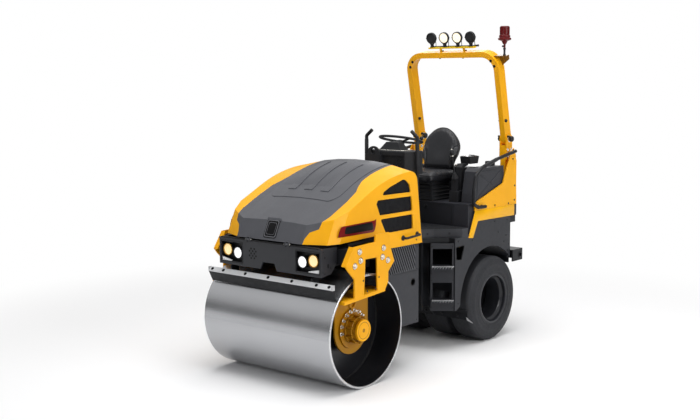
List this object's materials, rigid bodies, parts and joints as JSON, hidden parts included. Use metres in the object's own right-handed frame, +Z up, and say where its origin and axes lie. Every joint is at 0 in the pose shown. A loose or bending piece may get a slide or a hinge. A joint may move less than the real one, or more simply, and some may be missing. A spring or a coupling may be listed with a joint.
{
  "type": "road roller",
  "caption": "Ride-on combination road roller: a smooth steel drum in front, smooth rubber tyres at the rear, an articulated frame, a tilting hood and a folding roll-over hoop.",
  "frame": {"origin": "on the ground, under the middle of the whole machine's box", "axes": "+X forward, +Y to the machine's left, +Z up"},
  "size_m": [2.76, 1.398, 2.7341],
  "materials": {
    "yellow_paint": "satin yellow paint",
    "arm_paint": "dark yellow paint",
    "dark_hood": "dark grey moulded panel",
    "grey_paint": "dark grey paint",
    "black_paint": "black paint",
    "drum_steel": "turned steel",
    "scraper_steel": "light grey paint",
    "tyre_rubber": "smooth tyre rubber",
    "rim_paint": "dark paint",
    "tank_plastic": "grained dark plastic",
    "black_plastic": "black moulded plastic",
    "seat_vinyl": "black seat cover",
    "lamp_lens": "clear lens",
    "beacon_red": "dark red plastic",
    "engine_grey": "painted castings",
    "grille_black": "black mesh"
  },
  "bodies": {
    "rear": {"rear_frame": "black_paint", "rear_axle": "black_paint", "fender_left": "grey_paint", "fender_right": "grey_paint", "step_left": "grey_paint", "step_right": "grey_paint", "floor_plate": "grey_paint", "seat_box": "black_paint", "water_tank": "tank_plastic", "rear_brackets": "yellow_paint", "handrails": "black_paint", "seat_base": "black_plastic", "seat_cushion": "seat_vinyl", "seat_back": "seat_vinyl", "control_console": "black_plastic", "travel_lever": "black_plastic", "dash_console": "black_plastic", "grab_handles": "black_paint", "wheel_scrapers": "black_paint", "rear_beam": "black_paint", "rops_posts": "yellow_paint"},
    "front": {"front_frame": "black_paint", "yoke_left": "yellow_paint", "yoke_right": "yellow_paint", "drum_motors": "arm_paint", "side_panel_left": "grey_paint", "side_panel_right": "grey_paint", "bumper": "grey_paint", "head_lamps": "lamp_lens", "drum_scrapers": "scraper_steel", "engine": "engine_grey"},
    "drum": {"drum": "drum_steel"},
    "hood": {"hood_sides": "yellow_paint", "hood_cover": "dark_hood", "hood_grilles": "grille_black"},
    "wheels_left": {"rims_left": "rim_paint", "tyres_left": "tyre_rubber"},
    "wheels_right": {"rims_right": "rim_paint", "tyres_right": "tyre_rubber"},
    "rops": {"rops_hoop": "yellow_paint", "light_bar": "black_paint", "work_lamps": "black_plastic", "beacon": "beacon_red"},
    "steering_wheel": {"steering_wheel": "black_plastic"},
    "cylinder_barrel": {"steering_barrel": "black_paint"},
    "cylinder_rod": {"steering_rod": "drum_steel"}
  },
  "joints": [
    {"name": "articulation", "type": "hinge", "parent": "rear", "child": "front", "pos_m": [0.03, 0, 0.555], "axis": [0, 0, 1], "range_deg": [-30, 30]},
    {"name": "drum_spin", "type": "hinge", "parent": "front", "child": "drum", "pos_m": [0.95, 0, 0.43], "axis": [0, 1, 0], "continuous": true},
    {"name": "wheels_left_spin", "type": "hinge", "parent": "rear", "child": "wheels_left", "pos_m": [-0.88, 0, 0.371], "axis": [0, 1, 0], "continuous": true},
    {"name": "wheels_right_spin", "type": "hinge", "parent": "rear", "child": "wheels_right", "pos_m": [-0.88, 0, 0.371], "axis": [0, 1, 0], "continuous": true},
    {"name": "hood_hinge", "type": "hinge", "parent": "front", "child": "hood", "pos_m": [1.325, 0, 1.085], "axis": [0, 1, 0], "range_deg": [0, 60]},
    {"name": "rops_fold", "type": "hinge", "parent": "rear", "child": "rops", "pos_m": [-1.262, 0, 1.746], "axis": [0, -1, 0], "range_deg": [0, 100]},
    {"name": "steering_wheel_turn", "type": "hinge", "parent": "rear", "child": "steering_wheel", "pos_m": [-0.329, 0, 1.768], "axis": [-0.2079, 0, 0.9781], "continuous": true},
    {"name": "barrel_swing", "type": "hinge", "parent": "rear", "child": "cylinder_barrel", "pos_m": [-0.14, 0.115, 0.72], "axis": [0, 0, 1], "range_deg": [-13, 13]},
    {"name": "rod_slide", "type": "slide", "parent": "cylinder_barrel", "child": "cylinder_rod", "axis": [0.9987, -0.0517, 0], "range_m": [-0.057, 0.057]}
  ],
  "couplings": [
    {"joint": "barrel_swing", "follows": "articulation", "ratio": 0.388},
    {"joint": "rod_slide", "follows": "articulation", "m_per_rad": -0.1048}
  ]
}
